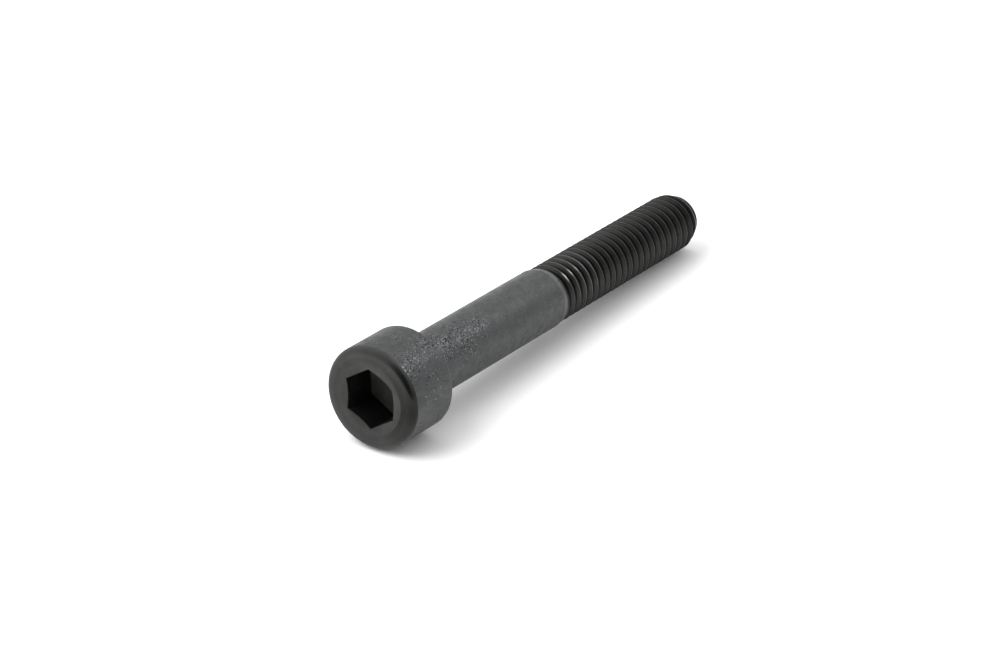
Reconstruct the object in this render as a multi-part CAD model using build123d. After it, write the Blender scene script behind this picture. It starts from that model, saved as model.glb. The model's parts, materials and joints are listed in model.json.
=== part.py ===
from build123d import *
from math import atan2, ceil, cos, degrees, radians, sin, tan
import os

# Hexagon socket head cap screw, M6 x 45, partly threaded and forged in one piece
# Lengths are millimetres and angles degrees. The screw is drawn upright on the Z axis, with the seat
# under its head at zero, the head below and the thread above, and is then laid down on the table.

# Head
HEAD_DIAMETER = 9.78
HEAD_HEIGHT = 5.95
HEAD_FACE_RADIUS = 0.68
HEAD_SEAT_CHAMFER = 0.24

# Socket for the key, with a countersunk mouth
SOCKET_SIDES = 6
SOCKET_ACROSS_FLATS = 5.03
SOCKET_DEPTH = 3.6
SOCKET_MOUTH_DIAMETER = 6.75
SOCKET_MOUTH_ANGLE = 150
SOCKET_TURN = 55.7

# Smooth shank, which flares into the seat and ends in a slight taper and a shoulder above the thread
SHANK_DIAMETER = 5.98
SHANK_LENGTH = 20.55
SHANK_FLARE = 0.3
TAPER_LENGTH = 0.5
TAPER_END_DIAMETER = 5.7
SHOULDER_ANGLE = 45

# Right-hand metric thread and the chamfered point
SCREW_LENGTH = 45.4
THREAD_DIAMETER = 5.92
THREAD_CORE_DIAMETER = 4.8
THREAD_PITCH = 1.0
THREAD_TURN = 169
TIP_DIAMETER = 4.56
TIP_CHAMFER_LENGTH = 1.44

# A helix is followed by short cubic curves, this many to a turn
CURVES_PER_TURN = 6
TURN = 360

# The shank's foot reaches into the thread's core by this share of the core's radius
FOOT_DEPTH_SHARE = 0.1

head_radius = HEAD_DIAMETER / 2
shank_radius = SHANK_DIAMETER / 2
taper_end_radius = TAPER_END_DIAMETER / 2
thread_radius = THREAD_DIAMETER / 2
core_radius = THREAD_CORE_DIAMETER / 2
tip_radius = TIP_DIAMETER / 2
taper_end = SHANK_LENGTH + TAPER_LENGTH
thread_depth = thread_radius - core_radius
curve_rise = THREAD_PITCH / CURVES_PER_TURN
curve_angle = TURN / CURVES_PER_TURN


def turned_blank():
    """Head, shank, taper and shoulder, turned from half a section."""
    foot_radius = core_radius * (1 - FOOT_DEPTH_SHARE)
    foot = taper_end + (taper_end_radius - foot_radius) / tan(radians(SHOULDER_ANGLE))
    outline = Polyline(
        (0, -HEAD_HEIGHT),
        (head_radius, -HEAD_HEIGHT),
        (head_radius, -HEAD_SEAT_CHAMFER),
        (head_radius - HEAD_SEAT_CHAMFER, 0),
        (shank_radius + SHANK_FLARE, 0),
        (shank_radius, SHANK_FLARE),
        (shank_radius, SHANK_LENGTH),
        (taper_end_radius, taper_end),
        (foot_radius, foot),
        (0, foot),
        close=True,
    )
    section = make_face(outline)
    face_corner = section.vertices().sort_by_distance((head_radius, -HEAD_HEIGHT))[0]
    turned = revolve(Plane.XZ * fillet(face_corner, HEAD_FACE_RADIUS), Axis.Z)
    # Half a turn brings the seam of the round faces to the top of the screw as it lies
    return Rot(0, 0, TURN / 2) * turned


def key_socket():
    """Six-sided hole in the end face of the head, and the cone of its mouth."""
    face = Pos(0, 0, -HEAD_HEIGHT)
    inner_radius = SOCKET_ACROSS_FLATS / 2
    hexagon = RegularPolygon(inner_radius, SOCKET_SIDES, major_radius=False, rotation=SOCKET_TURN)
    hole = extrude(face * hexagon, SOCKET_DEPTH)
    mouth_radius = SOCKET_MOUTH_DIAMETER / 2
    mouth_depth = mouth_radius / tan(radians(SOCKET_MOUTH_ANGLE / 2))
    to_face = (Align.CENTER, Align.CENTER, Align.MIN)
    mouth = face * Cone(mouth_radius, 0, mouth_depth, align=to_face)
    return hole + mouth


def helix_points(radius, height):
    """Four control points of one short stretch of helix that starts here, on the X axis."""
    sweep_angle = radians(curve_angle)
    start = Vector(radius, 0, height)
    end = Vector(radius * cos(sweep_angle), radius * sin(sweep_angle), height + curve_rise)
    # The usual handle length for an arc, and a third of the rise for each handle
    handle = radius * 4 / 3 * tan(sweep_angle / 4)
    leave = Vector(0, handle, curve_rise / 3)
    arrive = Vector(-handle * sin(sweep_angle), handle * cos(sweep_angle), curve_rise / 3)
    return [start, start + leave, end - arrive, end]


def helix_strip(low, high):
    """Face that runs straight across between two stretches of helix."""
    middle = [(one + other) / 2 for one, other in zip(low, high)]
    return Face.make_bezier_surface([low, middle, high])


def threaded_rod(bottom, top):
    """Solid rod with the helical thread on it, from bottom to a little past top, with stepped ends."""
    tooth = [(core_radius, 0), (thread_radius, THREAD_PITCH / 2), (core_radius, THREAD_PITCH)]
    rows = [helix_points(radius, height) for radius, height in tooth]
    flanks = [helix_strip(low, high) for low, high in zip(rows, rows[1:])]
    ramp = helix_strip(helix_points(0, 0), rows[0])
    axis_points = [(0, i * curve_rise) for i in range(CURVES_PER_TURN + 1)]
    step_points = [Vector(radius, 0, height) for radius, height in axis_points + tooth[::-1]]
    step = Face(Wire.make_polygon(step_points, close=True))

    def at(count):
        return Location((0, 0, bottom + count * curve_rise), (0, 0, count * curve_angle))

    last = ceil((top - bottom) / THREAD_PITCH) * CURVES_PER_TURN
    faces = [flank.moved(at(i)) for i in range(last) for flank in flanks]
    faces += [ramp.moved(at(end + i)) for end in (0, last) for i in range(CURVES_PER_TURN)]
    faces += [step.moved(at(end)) for end in (0, last)]
    return Rot(0, 0, THREAD_TURN) * Solid(Shell(faces))


def thread():
    """Thread from inside the shank to the chamfered point."""
    bottom = SHANK_LENGTH - 2 * THREAD_PITCH
    rod = threaded_rod(bottom, SCREW_LENGTH + THREAD_PITCH)
    # The chamfer's line is carried on outwards past the crests by one thread depth
    slope = TIP_CHAMFER_LENGTH / (thread_radius - tip_radius)
    chamfer_start = SCREW_LENGTH - TIP_CHAMFER_LENGTH - thread_depth * slope
    outline = Polyline(
        (0, bottom - THREAD_PITCH),
        (thread_radius + thread_depth, bottom - THREAD_PITCH),
        (thread_radius + thread_depth, chamfer_start),
        (tip_radius, SCREW_LENGTH),
        (0, SCREW_LENGTH),
        close=True,
    )
    return rod & revolve(Plane.XZ * make_face(outline), Axis.Z)


def rest_tilt():
    """Angle of the axis to the table when the head's seat edge and the last crest both touch it."""
    along = SCREW_LENGTH - TIP_CHAMFER_LENGTH + HEAD_SEAT_CHAMFER
    return degrees(atan2(head_radius - thread_radius, along))


def laid_down(screw):
    """The screw on its side with the thread towards +X, its box's bottom centre at the origin."""
    tipped = Rot(0, TURN / 4 + rest_tilt(), 0) * screw
    box = tipped.bounding_box()
    return Pos(-box.center().X, -box.center().Y, -box.min.Z) * tipped


cap_screw = laid_down(turned_blank() - key_socket() + thread())
cap_screw.label = "cap_screw"
os.makedirs("parts", exist_ok=True)
export_step(cap_screw, "parts/cap_screw.step")
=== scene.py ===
import bmesh
import bpy
import json
from math import ceil, cos, pi, radians, sin, tan
from mathutils import Matrix, Vector


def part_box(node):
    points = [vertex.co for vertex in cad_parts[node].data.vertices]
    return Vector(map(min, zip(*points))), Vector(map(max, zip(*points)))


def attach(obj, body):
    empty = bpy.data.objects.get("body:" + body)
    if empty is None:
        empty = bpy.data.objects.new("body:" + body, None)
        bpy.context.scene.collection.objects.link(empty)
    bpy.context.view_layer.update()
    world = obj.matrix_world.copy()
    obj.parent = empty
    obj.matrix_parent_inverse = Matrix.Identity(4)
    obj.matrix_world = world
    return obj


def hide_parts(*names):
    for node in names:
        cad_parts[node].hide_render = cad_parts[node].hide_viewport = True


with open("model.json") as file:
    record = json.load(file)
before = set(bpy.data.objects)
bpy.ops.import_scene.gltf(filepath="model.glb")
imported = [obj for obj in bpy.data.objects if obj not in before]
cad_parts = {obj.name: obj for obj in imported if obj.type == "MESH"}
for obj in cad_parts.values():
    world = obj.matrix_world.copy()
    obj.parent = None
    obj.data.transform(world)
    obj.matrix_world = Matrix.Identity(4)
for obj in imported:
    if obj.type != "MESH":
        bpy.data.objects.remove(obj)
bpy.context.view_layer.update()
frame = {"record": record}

# The screw's place and main sizes, in metres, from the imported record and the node's box
MM_PER_METRE = 1000
mounts = {mount["name"]: mount for mount in frame["record"]["mounts"]}
box_low, box_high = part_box("cap_screw")
AXIS = Vector(mounts["shank"]["axis"]).normalized()
ACROSS = Vector((0, 1, 0))
DOWN = ACROSS.cross(AXIS)
FACE_CENTRE = Vector(mounts["key_socket"]["pos_m"])


def station_of(name):
    """Distance of a mount from the head's face, along the axis."""
    return (Vector(mounts[name]["pos_m"]) - FACE_CENTRE).dot(AXIS)


def dim_of(name, key):
    """A mount's stated size, in metres."""
    return mounts[name]["dims"][key] / MM_PER_METRE


SCREW_LENGTH = (box_high - box_low).x
HEAD_RADIUS = (box_high.y - box_low.y) / 2
HEAD_HEIGHT = station_of("head_seat")
SOCKET_DEPTH = dim_of("key_socket", "length_mm")
SHANK_RADIUS = dim_of("shank", "r_mm")
SHANK_START = station_of("shank") - dim_of("shank", "length_mm") / 2
SHANK_END = station_of("shank") + dim_of("shank", "length_mm") / 2
THREAD_RADIUS = dim_of("thread", "r_mm")
THREAD_START = station_of("thread") - dim_of("thread", "length_mm") / 2
SCREW_END = station_of("thread") + dim_of("thread", "length_mm") / 2

# Shares of the head's radius
FACE_ROUNDING_SHARE = 0.68 / 4.89
SEAT_ROUNDING_SHARE = 0.24 / 4.89
SOCKET_FLAT_SHARE = 2.515 / 4.89
MOUTH_SHARE = 2.97 / 4.89
MOUTH_BAND_SHARE = 3.45 / 4.89
RIM_START_SHARE = 3.96 / 4.89

# Shares of the thread's radius
PITCH_SHARE = 1.0 / 2.96
CREST_SHARE = 0.97
CORE_SHARE = 2.36 / 2.96
TAPER_END_SHARE = 2.85 / 2.96
TIP_SHARE = 2.28 / 2.96
TIP_CHAMFER_SHARE = 1.44 / 2.96

# The thread's section over one pitch, from crest to crest: share of the pitch, share of the depth
TOOTH_SHARES = (
    (-0.085, 0.06), (-0.055, 0.0), (0.055, 0.0), (0.085, 0.06), (0.39, 0.94),
    (0.44, 0.985), (0.5, 1.0), (0.56, 0.985), (0.61, 0.94),
)
FIRST_CREST_SHARE = 0.49
LEAD_IN_TURNS = 2

# Shares of the pitch by which the taper starts and ends past the plain node's
TAPER_START_SHARE = 0.15
THREAD_START_SHARE = 0.32

# Sides of the socket, and angles in degrees
SOCKET_SIDES = 6
SOCKET_TURN = 55.7
MOUTH_ANGLE = 130
SHOULDER_ANGLE = 45
SHARP_EDGE_ANGLE = 38

# Mesh: columns round the axis, steps of an arc, and the share of the pitch within which points merge
COLUMNS = 144
ARC_STEPS = 8
MERGE_SHARE = 0.001

# Noise: its usual range, and the share of each finer layer in it
NOISE_SHARES = (0.3, 0.7)
FINE_NOISE_SHARE = 0.6

# Part of the black oxide's look that is a metal's, the rest being a dull coat
METAL_SHARE = 0.9

# Film of oil on the thread, which grows from the roots over a range of the thread's height
OIL_ROUGHNESS = 0.45
OIL_SHARE = 0.25
ROOT_OIL_SHARE = 0.2
OIL_HEIGHT_SHARES = (0.3, 0.7)

# Painted shade on the rim, a dark and smoother patch that stands in for the dark reflection there: its turn
# from straight down, its reach as a share of the head's radius, and the share of its strength from which it
# is as smooth as at its middle
PAINTED_SHADE_TURN_SHARE = 0.75
PAINTED_SHADE_REACH_SHARE = 1.2
PAINTED_SHADE_SMOOTH_SHARE = 0.4
PAINTED_SHADE_ROUGHNESS = 0.2
RIM_ROUGHNESS = 0.5
PAINTED_SHADE_COLOUR = (0.012, 0.012, 0.011, 1)

# Painted reflection on the head, a paler patch low on its side that stands in for the floor's reflection:
# its turn from straight down, then its distance from the face and its reach, as shares of the head's radius,
# and its strength
PAINTED_REFLECTION_TURN_SHARE = 0.81
PAINTED_REFLECTION_PLACE_SHARE = 0.25
PAINTED_REFLECTION_REACH_SHARE = 0.6
PAINTED_REFLECTION_STRENGTH_SHARE = 0.7
PAINTED_REFLECTION_COLOUR = (0.105, 0.105, 0.106, 1)

# Patches of specks, dark ones and pale ones, the pale specks being painted glints along the line where the
# highlight
# falls: turn from straight down, then distance from the face and reach, as shares of the head's radius, and
# density
SPECK_AND_GLINT_SHARES = (
    (0.62, 0.16, 0.4, 1.0), (0.60, 0.5, 0.6, 0.75), (0.58, 1.0, 0.5, 0.75), (0.60, 1.5, 0.5, 0.9),
    (0.58, 1.9, 0.55, 1.0), (0.60, 2.35, 0.6, 1.0), (0.58, 2.9, 0.5, 0.9), (0.68, 0.6, 0.5, 0.55),
    (0.50, 0.75, 0.3, 0.8), (0.72, 0.9, 0.3, 0.6), (0.80, 0.2, 0.3, 0.8), (0.87, 1.05, 0.4, 0.8),
)
PAINTED_GLINT_COLOUR = (0.22, 0.23, 0.24, 1)
DARK_SPECK_COLOUR = (0.014, 0.014, 0.015, 1)

# Painted glints, bright spots on the first crests: turn from straight down, then distance from the thread's
# start and reach, in pitches, and strength; they come up over a range of the thread's height
PAINTED_CREST_GLINT_SHARES = (
    (0.605, 1.0, 0.7, 1.0), (0.595, 2.0, 0.65, 0.7), (0.59, 3.0, 0.65, 0.5), (0.59, 3.5, 3.5, 0.2),
)
PAINTED_CREST_GLINT_HEIGHT_SHARES = (0.82, 0.96)
PAINTED_CREST_GLINT_COLOUR = (0.5, 0.5, 0.5, 1)

# Studio: the floor's width, and the lights' distance and widths, in shares of the screw's length, their
# angles in degrees and their powers in watts
FLOOR_SHARE = 40
FLOOR_COLOUR = (0.92, 0.92, 0.92, 1)
LIGHT_DISTANCE_SHARE = 7
KEY_SIZE_SHARE = 6
KEY_AZIMUTH = 232
KEY_ELEVATION = 46
KEY_POWER = 1.2
GLINT_SIZE_SHARE = 1
GLINT_AZIMUTH = 65
GLINT_ELEVATION = 40
GLINT_POWER = 0.108

# The studio is bright overhead, dimmer at the horizon, and dark behind the camera
OVERHEAD_STRENGTH = 1.65
HORIZON_STRENGTH = 0.8
OVERHEAD_ANGLE = 45
DARK_SIDE_SHARE = 0.1
DARK_SIDE_AZIMUTH = -52
DARK_SIDE_ELEVATION = 29
DARK_SIDE_INNER_ANGLE = 20
DARK_SIDE_OUTER_ANGLE = 60

# Camera, fitted to the outline in the photograph
CAMERA_PLACE = Vector((-0.230258, -0.154555, 0.148028))
CAMERA_AZIMUTH = -55.504
CAMERA_ELEVATION = 27.976
CAMERA_ROLL = 0.862
CAMERA_LENS = 119.45
SENSOR_WIDTH = 36

pitch = THREAD_RADIUS * PITCH_SHARE
crest_radius = THREAD_RADIUS * CREST_SHARE
thread_depth = crest_radius - THREAD_RADIUS * CORE_SHARE
taper_start = SHANK_END + pitch * TAPER_START_SHARE
thread_start = THREAD_START + pitch * THREAD_START_SHARE
tip_radius = THREAD_RADIUS * TIP_SHARE
tip_chamfer = THREAD_RADIUS * TIP_CHAMFER_SHARE
taper_end_radius = THREAD_RADIUS * TAPER_END_SHARE
mouth_radius = HEAD_RADIUS * MOUTH_SHARE
mouth_band = HEAD_RADIUS * MOUTH_BAND_SHARE
rim_start = HEAD_RADIUS * RIM_START_SHARE
socket_flat = HEAD_RADIUS * SOCKET_FLAT_SHARE
angles = [radians(SOCKET_TURN) + 2 * pi * column / COLUMNS for column in range(COLUMNS + 1)]


# Shape of the screw, in rows of points round its axis

def place(radius, angle, station):
    """Point of the screw at this radius, angle from straight down, and distance from the head's face."""
    return FACE_CENTRE + AXIS * station + (DOWN * cos(angle) + ACROSS * sin(angle)) * radius


def ring(radius, station):
    """Row of points round the axis."""
    return [place(radius, angle, station) for angle in angles]


def arc(centre_radius, centre_station, radius, start, end):
    """Rings along a quarter arc of the section, from one angle to another."""
    turns = [radians(start + (end - start) * step / ARC_STEPS) for step in range(ARC_STEPS + 1)]
    return [ring(centre_radius + radius * cos(t), centre_station + radius * sin(t)) for t in turns]


def hexagon_row(on_cone):
    """Edge of the six-sided hole, where it meets the cone of the mouth or the bottom."""
    side = 2 * pi / SOCKET_SIDES
    row = []
    for angle in angles:
        from_flat = (angle - radians(SOCKET_TURN)) % side - side / 2
        radius = socket_flat / cos(from_flat)
        cone_station = (mouth_radius - radius) / tan(radians(MOUTH_ANGLE / 2))
        row.append(place(radius, angle, cone_station if on_cone else SOCKET_DEPTH))
    return row


def socket_floor():
    """Flat bottom of the socket."""
    return [ring(0, SOCKET_DEPTH), hexagon_row(False)]


def socket_walls():
    """Six flats of the socket."""
    return [hexagon_row(False), hexagon_row(True)]


def socket_mouth():
    """Cone that leads into the socket, and the flat band round it, painted paler than the face as painted
    light.
    """
    return [hexagon_row(True), ring(mouth_radius, 0), ring(mouth_band, 0)]


def head_face():
    """Flat end of the head."""
    return [ring(mouth_band, 0), ring(rim_start, 0)]


def head_rim():
    """Rounded edge between the head's face and its side."""
    face_round = HEAD_RADIUS * FACE_ROUNDING_SHARE
    return [ring(rim_start, 0)] + arc(HEAD_RADIUS - face_round, face_round, face_round, -90, 0)


def smooth_outside():
    """Side of the head, its seat and the shank."""
    seat_round = HEAD_RADIUS * SEAT_ROUNDING_SHARE
    flare = SHANK_START - HEAD_HEIGHT
    rows = head_rim()[-1:]
    rows += arc(HEAD_RADIUS - seat_round, HEAD_HEIGHT - seat_round, seat_round, 0, 90)
    rows += arc(SHANK_RADIUS + flare, HEAD_HEIGHT + flare, flare, 270, 180)
    rows.append(ring(SHANK_RADIUS, taper_start))
    return rows


def shank_taper():
    """Narrow taper at the shank's end."""
    return [ring(SHANK_RADIUS, taper_start), ring(taper_end_radius, thread_start)]


def thread_radius_at(depth_share, station):
    """Radius of the thread's surface, held in by the shoulder at its start and the chamfer at its end."""
    radius = crest_radius - thread_depth * depth_share
    past_start = station - thread_start
    slope = tan(radians(SHOULDER_ANGLE))
    radius = min(max(radius, taper_end_radius - past_start * slope), taper_end_radius + past_start * slope)
    chamfer_slope = (crest_radius - tip_radius) / tip_chamfer
    return min(radius, tip_radius + (SCREW_END - station) * chamfer_slope)


def threaded_outside():
    """Rows that follow the helix, held between the shank's end and the tip."""
    turns = ceil((SCREW_END - thread_start) / pitch) + 1
    rows = []
    for turn in range(-LEAD_IN_TURNS, turns):
        for pitch_share, depth_share in TOOTH_SHARES:
            first = thread_start + pitch * (FIRST_CREST_SHARE + turn + pitch_share)
            row = []
            for angle in angles:
                station = first + pitch * angle / (2 * pi)
                station = min(max(station, thread_start), SCREW_END)
                row.append(place(thread_radius_at(depth_share, station), angle, station))
            rows.append(row)
    return rows


def tip():
    """Flat end of the thread."""
    return [ring(tip_radius, SCREW_END), ring(0, SCREW_END)]


def skin(name, sheets):
    """One closed mesh from sheets of rows, each with its own material."""
    mesh = bpy.data.meshes.new(name)
    shape = bmesh.new()
    for index, (rows, material) in enumerate(sheets):
        mesh.materials.append(material)
        corners = [[shape.verts.new(point) for point in row] for row in rows]
        for low, high in zip(corners, corners[1:]):
            for column in range(COLUMNS):
                quad = (low[column], low[column + 1], high[column + 1], high[column])
                shape.faces.new(quad).material_index = index
    bmesh.ops.remove_doubles(shape, verts=shape.verts, dist=pitch * MERGE_SHARE)
    bmesh.ops.recalc_face_normals(shape, faces=shape.faces)
    shape.to_mesh(mesh)
    shape.free()
    mesh.shade_smooth()
    mesh.set_sharp_from_angle(angle=radians(SHARP_EDGE_ANGLE))
    piece = bpy.data.objects.new(name, mesh)
    bpy.context.scene.collection.objects.link(piece)
    return piece


# Shader nodes

def set_input(tree, socket, value):
    """Input set to a value, or linked from another node's output."""
    if isinstance(value, bpy.types.NodeSocket):
        tree.links.new(value, socket)
    else:
        socket.default_value = value


def node(tree, kind, inputs=(), **settings):
    """Shader node with settings, and each named input set to a value or linked from a socket."""
    made = tree.nodes.new("ShaderNode" + kind)
    for name, value in settings.items():
        setattr(made, name, value)
    for name, value in dict(inputs).items():
        set_input(tree, made.inputs[name], value)
    return made


def number_math(tree, operation, one, other):
    """Sum, product or maximum of two values."""
    return node(tree, "Math", {0: one, 1: other}, operation=operation).outputs[0]


def times(tree, one, other):
    """Product of two values."""
    return number_math(tree, "MULTIPLY", one, other)


def vector_math(tree, operation, result, *vectors):
    """Vector or value worked out from one or two vectors."""
    return node(tree, "VectorMath", dict(enumerate(vectors)), operation=operation).outputs[result]


def strongest(tree, values):
    """The largest of some values."""
    largest = values[0]
    for value in values[1:]:
        largest = number_math(tree, "MAXIMUM", largest, value)
    return largest


def spread(tree, value, from_low, from_high, to_low, to_high):
    """Value mapped from one range to another, and held there."""
    ranges = {"From Min": from_low, "From Max": from_high, "To Min": to_low, "To Max": to_high}
    return node(tree, "MapRange", {"Value": value, **ranges}).outputs["Result"]


def noise(tree, lumps, detail, shift=0):
    """Noise over the object, with this many lumps to the head's radius."""
    coords = node(tree, "TexCoord").outputs["Object"]
    moved = node(tree, "Mapping", {"Vector": coords, "Location": (shift, shift, shift)}).outputs["Vector"]
    scale = lumps / HEAD_RADIUS
    settings = {"Vector": moved, "Scale": scale, "Detail": detail, "Roughness": FINE_NOISE_SHARE}
    return node(tree, "TexNoise", settings).outputs["Fac"]


def noise_between(tree, low, high, lumps, detail):
    """Noise that varies from low to high."""
    return spread(tree, noise(tree, lumps, detail), *NOISE_SHARES, low, high)


def colours(tree, factor, stops):
    """Colour ramp with stops of place and colour."""
    made = node(tree, "ValToRGB", {"Fac": factor})
    ramp = made.color_ramp
    while len(ramp.elements) < len(stops):
        ramp.elements.new(1)
    for element, (position, colour) in zip(ramp.elements, stops):
        element.position = position
        element.color = (*colour, 1)
    return made.outputs["Color"]


def clouds(tree, stops, lumps):
    """Cloudy tints, by noise on a colour ramp."""
    return colours(tree, noise(tree, lumps, detail=3), stops)


def mixed(tree, factor, one, other, blend="MIX"):
    """Two colours mixed by a factor."""
    made = node(tree, "Mix", data_type="RGBA", blend_type=blend)
    # The colour sockets share their names with others, so they are found by number
    for number, value in ((0, factor), (6, one), (7, other)):
        set_input(tree, made.inputs[number], value)
    return made.outputs[2]


def from_face(tree):
    """Vector from the centre of the head's face."""
    coords = node(tree, "TexCoord").outputs["Object"]
    return vector_math(tree, "SUBTRACT", "Vector", coords, FACE_CENTRE)


def height_over_core(tree):
    """Zero at the thread's core and one at its crests."""
    offset = from_face(tree)
    along = vector_math(tree, "PROJECT", "Vector", offset, AXIS)
    outward = vector_math(tree, "SUBTRACT", "Vector", offset, along)
    radius = vector_math(tree, "LENGTH", "Value", outward)
    return spread(tree, radius, crest_radius - thread_depth, crest_radius, 0, 1)


def along_axis(tree, start, end, from_value, to_value):
    """Value that changes along the axis between two distances from the head's face."""
    station = vector_math(tree, "DOT_PRODUCT", "Value", from_face(tree), AXIS)
    return spread(tree, station, start, end, from_value, to_value)


def near(tree, point, reach):
    """One at a point of the object, falling to zero at this distance from it."""
    coords = node(tree, "TexCoord").outputs["Object"]
    away = vector_math(tree, "DISTANCE", "Value", coords, point)
    return spread(tree, away, 0, reach, 1, 0)


def near_painted_shade(tree, reach):
    """One at the middle of the painted shade on the rim, falling to zero at this distance."""
    return near(tree, place(HEAD_RADIUS, 2 * pi * PAINTED_SHADE_TURN_SHARE, 0), reach)


def near_painted_reflection(tree):
    """Strength of the painted reflection, a paler patch on the head's side."""
    middle = place(HEAD_RADIUS, 2 * pi * PAINTED_REFLECTION_TURN_SHARE, HEAD_RADIUS * PAINTED_REFLECTION_PLACE_SHARE)
    return times(tree, near(tree, middle, HEAD_RADIUS * PAINTED_REFLECTION_REACH_SHARE), PAINTED_REFLECTION_STRENGTH_SHARE)


def near_specks_and_glints(tree):
    """Density of the dark specks and of the painted glints, from nothing to one."""
    densities = []
    for turn, station, reach, density in SPECK_AND_GLINT_SHARES:
        radius = HEAD_RADIUS if HEAD_RADIUS * station < HEAD_HEIGHT else SHANK_RADIUS
        spot = near(tree, place(radius, 2 * pi * turn, HEAD_RADIUS * station), HEAD_RADIUS * reach)
        densities.append(times(tree, spot, density))
    return strongest(tree, densities)


def near_painted_crest_glints(tree):
    """Strength of the painted glints on the crests, from nothing to one."""
    strengths = []
    for turn, pitches, reach, strength in PAINTED_CREST_GLINT_SHARES:
        spot = near(tree, place(crest_radius, 2 * pi * turn, thread_start + pitch * pitches), pitch * reach)
        strengths.append(times(tree, spot, strength))
    return strongest(tree, strengths)


def specks(tree, density, lumps, detail, shift, gain, low, high):
    """Specks where noise, raised by their density, passes from low to high."""
    raised = number_math(tree, "ADD", noise(tree, lumps, detail, shift), times(tree, density, gain))
    return spread(tree, raised, low, high, 0, 1)


# Materials

def new_material(name):
    """Material with no nodes yet."""
    material = bpy.data.materials.new(name)
    material.use_nodes = True
    material.node_tree.nodes.clear()
    return material


def finish_material(material, colour, roughness, bump_lumps=12, bump_share=0.0013, metal=METAL_SHARE, oil=0):
    """Dark metal with a fine bump and perhaps a film of oil, and the material's output."""
    tree = material.node_tree
    height = noise(tree, bump_lumps, detail=4)
    bump = node(tree, "Bump", {"Height": height, "Strength": 1.0, "Distance": HEAD_RADIUS * bump_share})
    shader = node(tree, "BsdfPrincipled", {
        "Base Color": colour, "Roughness": roughness, "Metallic": metal,
        "Coat Weight": oil, "Coat Roughness": OIL_ROUGHNESS,
        "Normal": bump.outputs["Normal"],
    })
    node(tree, "OutputMaterial", {"Surface": shader.outputs["BSDF"]})
    return material


def coat_material():
    """Black oxide on forged steel: soft grey with cloudy tints, patches of dark specks and of pale specks
    that are painted glints, and a paler patch that is a painted reflection.
    """
    material = new_material("black_oxide")
    tree = material.node_tree
    tint = clouds(tree, (
        (0.34, (0.050, 0.055, 0.054)), (0.47, (0.068, 0.069, 0.071)),
        (0.56, (0.058, 0.064, 0.062)), (0.68, (0.074, 0.072, 0.076)),
    ), lumps=1.66)
    grain = clouds(tree, ((0.3, (0.9, 0.9, 0.9)), (0.7, (1.1, 1.1, 1.1))), lumps=20.5)
    colour = mixed(tree, 1.0, tint, grain, "MULTIPLY")
    # Painted reflection: a paler patch low on the head's side.
    colour = mixed(tree, near_painted_reflection(tree), colour, PAINTED_REFLECTION_COLOUR)
    density = near_specks_and_glints(tree)
    # Painted glints: pale specks along the line where the highlight falls.
    pale = specks(tree, density, lumps=36, detail=1, shift=0.3, gain=0.16, low=0.73, high=0.76)
    dark = specks(tree, density, lumps=25, detail=2, shift=0.7, gain=0.18, low=0.68, high=0.72)
    colour = mixed(tree, dark, colour, DARK_SPECK_COLOUR)
    colour = mixed(tree, pale, colour, PAINTED_GLINT_COLOUR)
    roughness = noise_between(tree, 0.40, 0.58, lumps=7, detail=3)
    return finish_material(material, colour, roughness, bump_lumps=15, bump_share=0.0015)


def mouth_material():
    """Smoother coat of the socket's mouth, a little paler than the face as painted light."""
    material = new_material("black_oxide_mouth")
    tree = material.node_tree
    # Painted light: a little paler than the face.
    colour = clouds(tree, ((0.36, (0.043, 0.044, 0.040)), (0.66, (0.055, 0.055, 0.055))), lumps=2)
    roughness = noise_between(tree, 0.42, 0.52, lumps=6.3, detail=2)
    return finish_material(material, colour, roughness)


def face_material():
    """Smoother coat of the head's end, slightly olive in places; its tone, darker than the side's and
    darkest beside the rim's dark patch, is painted shade.
    """
    material = new_material("black_oxide_face")
    tree = material.node_tree
    colour = clouds(tree, (
        (0.36, (0.039, 0.040, 0.036)), (0.52, (0.045, 0.045, 0.044)), (0.66, (0.052, 0.052, 0.052)),
    ), lumps=2)
    # Painted shade: the face darkens towards the dark patch on the rim.
    colour = mixed(tree, near_painted_shade(tree, HEAD_RADIUS), colour, PAINTED_SHADE_COLOUR)
    roughness = noise_between(tree, 0.42, 0.52, lumps=6.3, detail=2)
    return finish_material(material, colour, roughness)


def rim_material():
    """Smoother coat of the rounded edge, with painted shade on one side: a dark, shiny patch."""
    material = new_material("black_oxide_rim")
    tree = material.node_tree
    colour = clouds(tree, ((0.36, (0.049, 0.050, 0.047)), (0.66, (0.060, 0.060, 0.060))), lumps=2)
    painted_shade = near_painted_shade(tree, HEAD_RADIUS * PAINTED_SHADE_REACH_SHARE)
    # Painted shade: a dark, shiny patch on one side of the rim.
    colour = mixed(tree, painted_shade, colour, PAINTED_SHADE_COLOUR)
    roughness = spread(tree, painted_shade, 0, PAINTED_SHADE_SMOOTH_SHARE, RIM_ROUGHNESS, PAINTED_SHADE_ROUGHNESS)
    return finish_material(material, colour, roughness)


def wall_material():
    """Dark flats of the socket."""
    material = new_material("black_oxide_flats")
    tree = material.node_tree
    colour = clouds(tree, ((0.35, (0.022, 0.023, 0.022)), (0.65, (0.036, 0.038, 0.034))), lumps=4)
    roughness = noise_between(tree, 0.45, 0.6, lumps=7, detail=2)
    return finish_material(material, colour, roughness)


def bottom_material():
    """Dull bottom of the socket."""
    material = new_material("black_oxide_bottom")
    tree = material.node_tree
    colour = clouds(tree, ((0.35, (0.026, 0.028, 0.024)), (0.65, (0.042, 0.044, 0.039))), lumps=4)
    roughness = noise_between(tree, 0.6, 0.75, lumps=7, detail=2)
    return finish_material(material, colour, roughness, metal=0)


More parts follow.
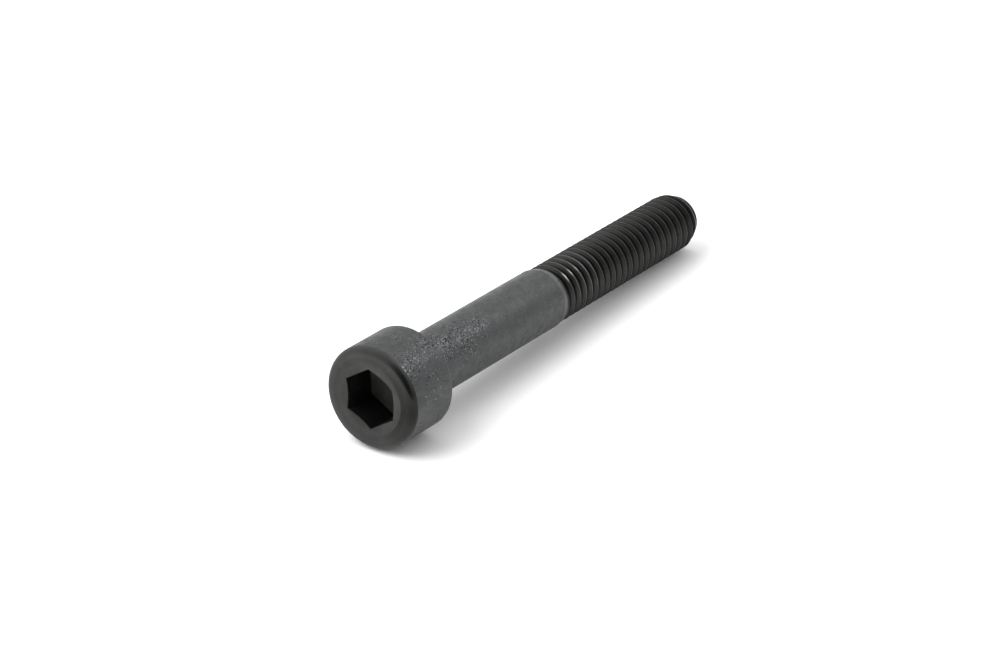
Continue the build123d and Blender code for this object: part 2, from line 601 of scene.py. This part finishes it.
def taper_material():
    """Paler coat of the taper where the shank ends, as a painted highlight."""
    material = new_material("black_oxide_painted_highlight")
    tree = material.node_tree
    # Painted highlight: the taper's ring is paler than the shank.
    colour = clouds(tree, ((0.35, (0.075, 0.075, 0.075)), (0.65, (0.12, 0.12, 0.12))), lumps=4.7)
    roughness = noise_between(tree, 0.32, 0.45, lumps=7, detail=2)
    return finish_material(material, colour, roughness)


def thread_material():
    """Darker, oily coat of the rolled thread, darkest at the roots as painted shade in the grooves, paler on
    the flanks, plainer towards the tip, and with painted glints on the first crests.
    """
    material = new_material("black_oxide_thread")
    tree = material.node_tree
    height = height_over_core(tree)
    # Painted shade: the colour darkens towards the thread's roots.
    first = colours(tree, height, (
        (0.35, (0.003, 0.003, 0.002)), (0.6, (0.036, 0.036, 0.035)),
        (0.85, (0.036, 0.036, 0.035)), (1.0, (0.020, 0.020, 0.020)),
    ))
    last = colours(tree, height, (
        (0.35, (0.010, 0.010, 0.009)), (0.6, (0.028, 0.028, 0.027)),
        (0.85, (0.028, 0.028, 0.027)), (1.0, (0.020, 0.020, 0.020)),
    ))
    colour = mixed(tree, along_axis(tree, thread_start, SCREW_END, 0, 1), first, last)
    cloud = clouds(tree, (
        (0.36, (0.95, 0.95, 0.8)), (0.5, (0.9, 0.9, 0.9)), (0.66, (1.1, 1.1, 1.1)),
    ), lumps=2.6)
    colour = mixed(tree, 1.0, colour, cloud, "MULTIPLY")
    # Painted glints: bright spots on the first crests.
    high = spread(tree, height, *PAINTED_CREST_GLINT_HEIGHT_SHARES, 0, 1)
    painted_crest_glint = times(tree, near_painted_crest_glints(tree), high)
    colour = mixed(tree, painted_crest_glint, colour, PAINTED_CREST_GLINT_COLOUR)
    roughness = noise_between(tree, 0.40, 0.54, lumps=9.5, detail=3)
    chamfer_start = SCREW_END - tip_chamfer
    oil_along = along_axis(tree, chamfer_start - pitch, chamfer_start, OIL_SHARE, 0)
    oil_outward = spread(tree, height, *OIL_HEIGHT_SHARES, ROOT_OIL_SHARE, 1)
    oil = times(tree, oil_along, oil_outward)
    return finish_material(material, colour, roughness, bump_lumps=17.5, oil=oil)


def screw():
    """The whole screw, in place of the plain node."""
    coat = coat_material()
    piece = skin("screw", [
        (socket_floor(), bottom_material()),
        (socket_walls(), wall_material()),
        (socket_mouth(), mouth_material()),
        (head_face(), face_material()),
        (head_rim(), rim_material()),
        (smooth_outside(), coat),
        (shank_taper(), taper_material()),
        (threaded_outside(), thread_material()),
        (tip(), coat),
    ])
    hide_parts("cap_screw")
    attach(piece, "root")


# Studio

def towards(azimuth, elevation):
    """Unit vector out of the scene, with azimuth 0 towards -Y and 90 towards +X."""
    a, e = radians(azimuth), radians(elevation)
    return Vector((sin(a) * cos(e), -cos(a) * cos(e), sin(e)))


def floor():
    """Plain white floor under the screw."""
    half = SCREW_LENGTH * FLOOR_SHARE / 2
    mesh = bpy.data.meshes.new("floor")
    corners = [(-half, -half, 0), (half, -half, 0), (half, half, 0), (-half, half, 0)]
    mesh.from_pydata(corners, [], [(0, 1, 2, 3)])
    material = new_material("white_floor")
    tree = material.node_tree
    shader = node(tree, "BsdfDiffuse", {"Color": FLOOR_COLOUR})
    node(tree, "OutputMaterial", {"Surface": shader.outputs["BSDF"]})
    mesh.materials.append(material)
    plane = bpy.data.objects.new("floor", mesh)
    bpy.context.scene.collection.objects.link(plane)


def area_light(name, azimuth, elevation, size_share, power):
    """Square soft light that faces the screw."""
    light = bpy.data.lights.new(name, "AREA")
    light.size = SCREW_LENGTH * size_share
    light.energy = power
    made = bpy.data.objects.new(name, light)
    direction = towards(azimuth, elevation)
    made.location = direction * SCREW_LENGTH * LIGHT_DISTANCE_SHARE
    made.rotation_mode = "QUATERNION"
    made.rotation_quaternion = (-direction).to_track_quat("-Z", "Y")
    bpy.context.scene.collection.objects.link(made)
    return made


def lights():
    """Large soft key light that casts the shadow, and a small one for the glints along the screw."""
    key = area_light("key", KEY_AZIMUTH, KEY_ELEVATION, KEY_SIZE_SHARE, KEY_POWER)
    key.visible_glossy = False
    glint = area_light("glint", GLINT_AZIMUTH, GLINT_ELEVATION, GLINT_SIZE_SHARE, GLINT_POWER)
    glint.visible_diffuse = False


def studio_walls():
    """White light from all round, dimmed towards the horizon and the dark side of the studio."""
    world = bpy.data.worlds.new("studio")
    world.use_nodes = True
    tree = world.node_tree
    tree.nodes.clear()
    direction = node(tree, "TexCoord").outputs["Generated"]
    height = node(tree, "SeparateXYZ", {"Vector": direction}).outputs["Z"]
    open_side = spread(tree, height, 0, sin(radians(OVERHEAD_ANGLE)), HORIZON_STRENGTH, OVERHEAD_STRENGTH)
    dark_side = towards(DARK_SIDE_AZIMUTH, DARK_SIDE_ELEVATION)
    facing = vector_math(tree, "DOT_PRODUCT", "Value", direction, dark_side)
    inner, outer = cos(radians(DARK_SIDE_INNER_ANGLE)), cos(radians(DARK_SIDE_OUTER_ANGLE))
    strength = times(tree, open_side, spread(tree, facing, outer, inner, 1, DARK_SIDE_SHARE))
    background = node(tree, "Background", {"Color": (1, 1, 1, 1), "Strength": strength})
    node(tree, "OutputWorld", {"Surface": background.outputs["Background"]})
    bpy.context.scene.world = world


def camera():
    """The photograph's view."""
    back = towards(CAMERA_AZIMUTH, CAMERA_ELEVATION)
    right = Vector((cos(radians(CAMERA_AZIMUTH)), sin(radians(CAMERA_AZIMUTH)), 0))
    turn = Matrix.Rotation(radians(CAMERA_ROLL), 3, back)
    axes = (turn @ right, turn @ back.cross(right), back)
    data = bpy.data.cameras.new("camera")
    data.lens = CAMERA_LENS
    data.sensor_width = SENSOR_WIDTH
    made = bpy.data.objects.new("camera", data)
    made.matrix_world = Matrix.Translation(CAMERA_PLACE) @ Matrix(axes).transposed().to_4x4()
    bpy.context.scene.collection.objects.link(made)
    bpy.context.scene.camera = made


screw()
floor()
lights()
studio_walls()
camera()
bpy.context.scene.view_settings.view_transform = "Standard"
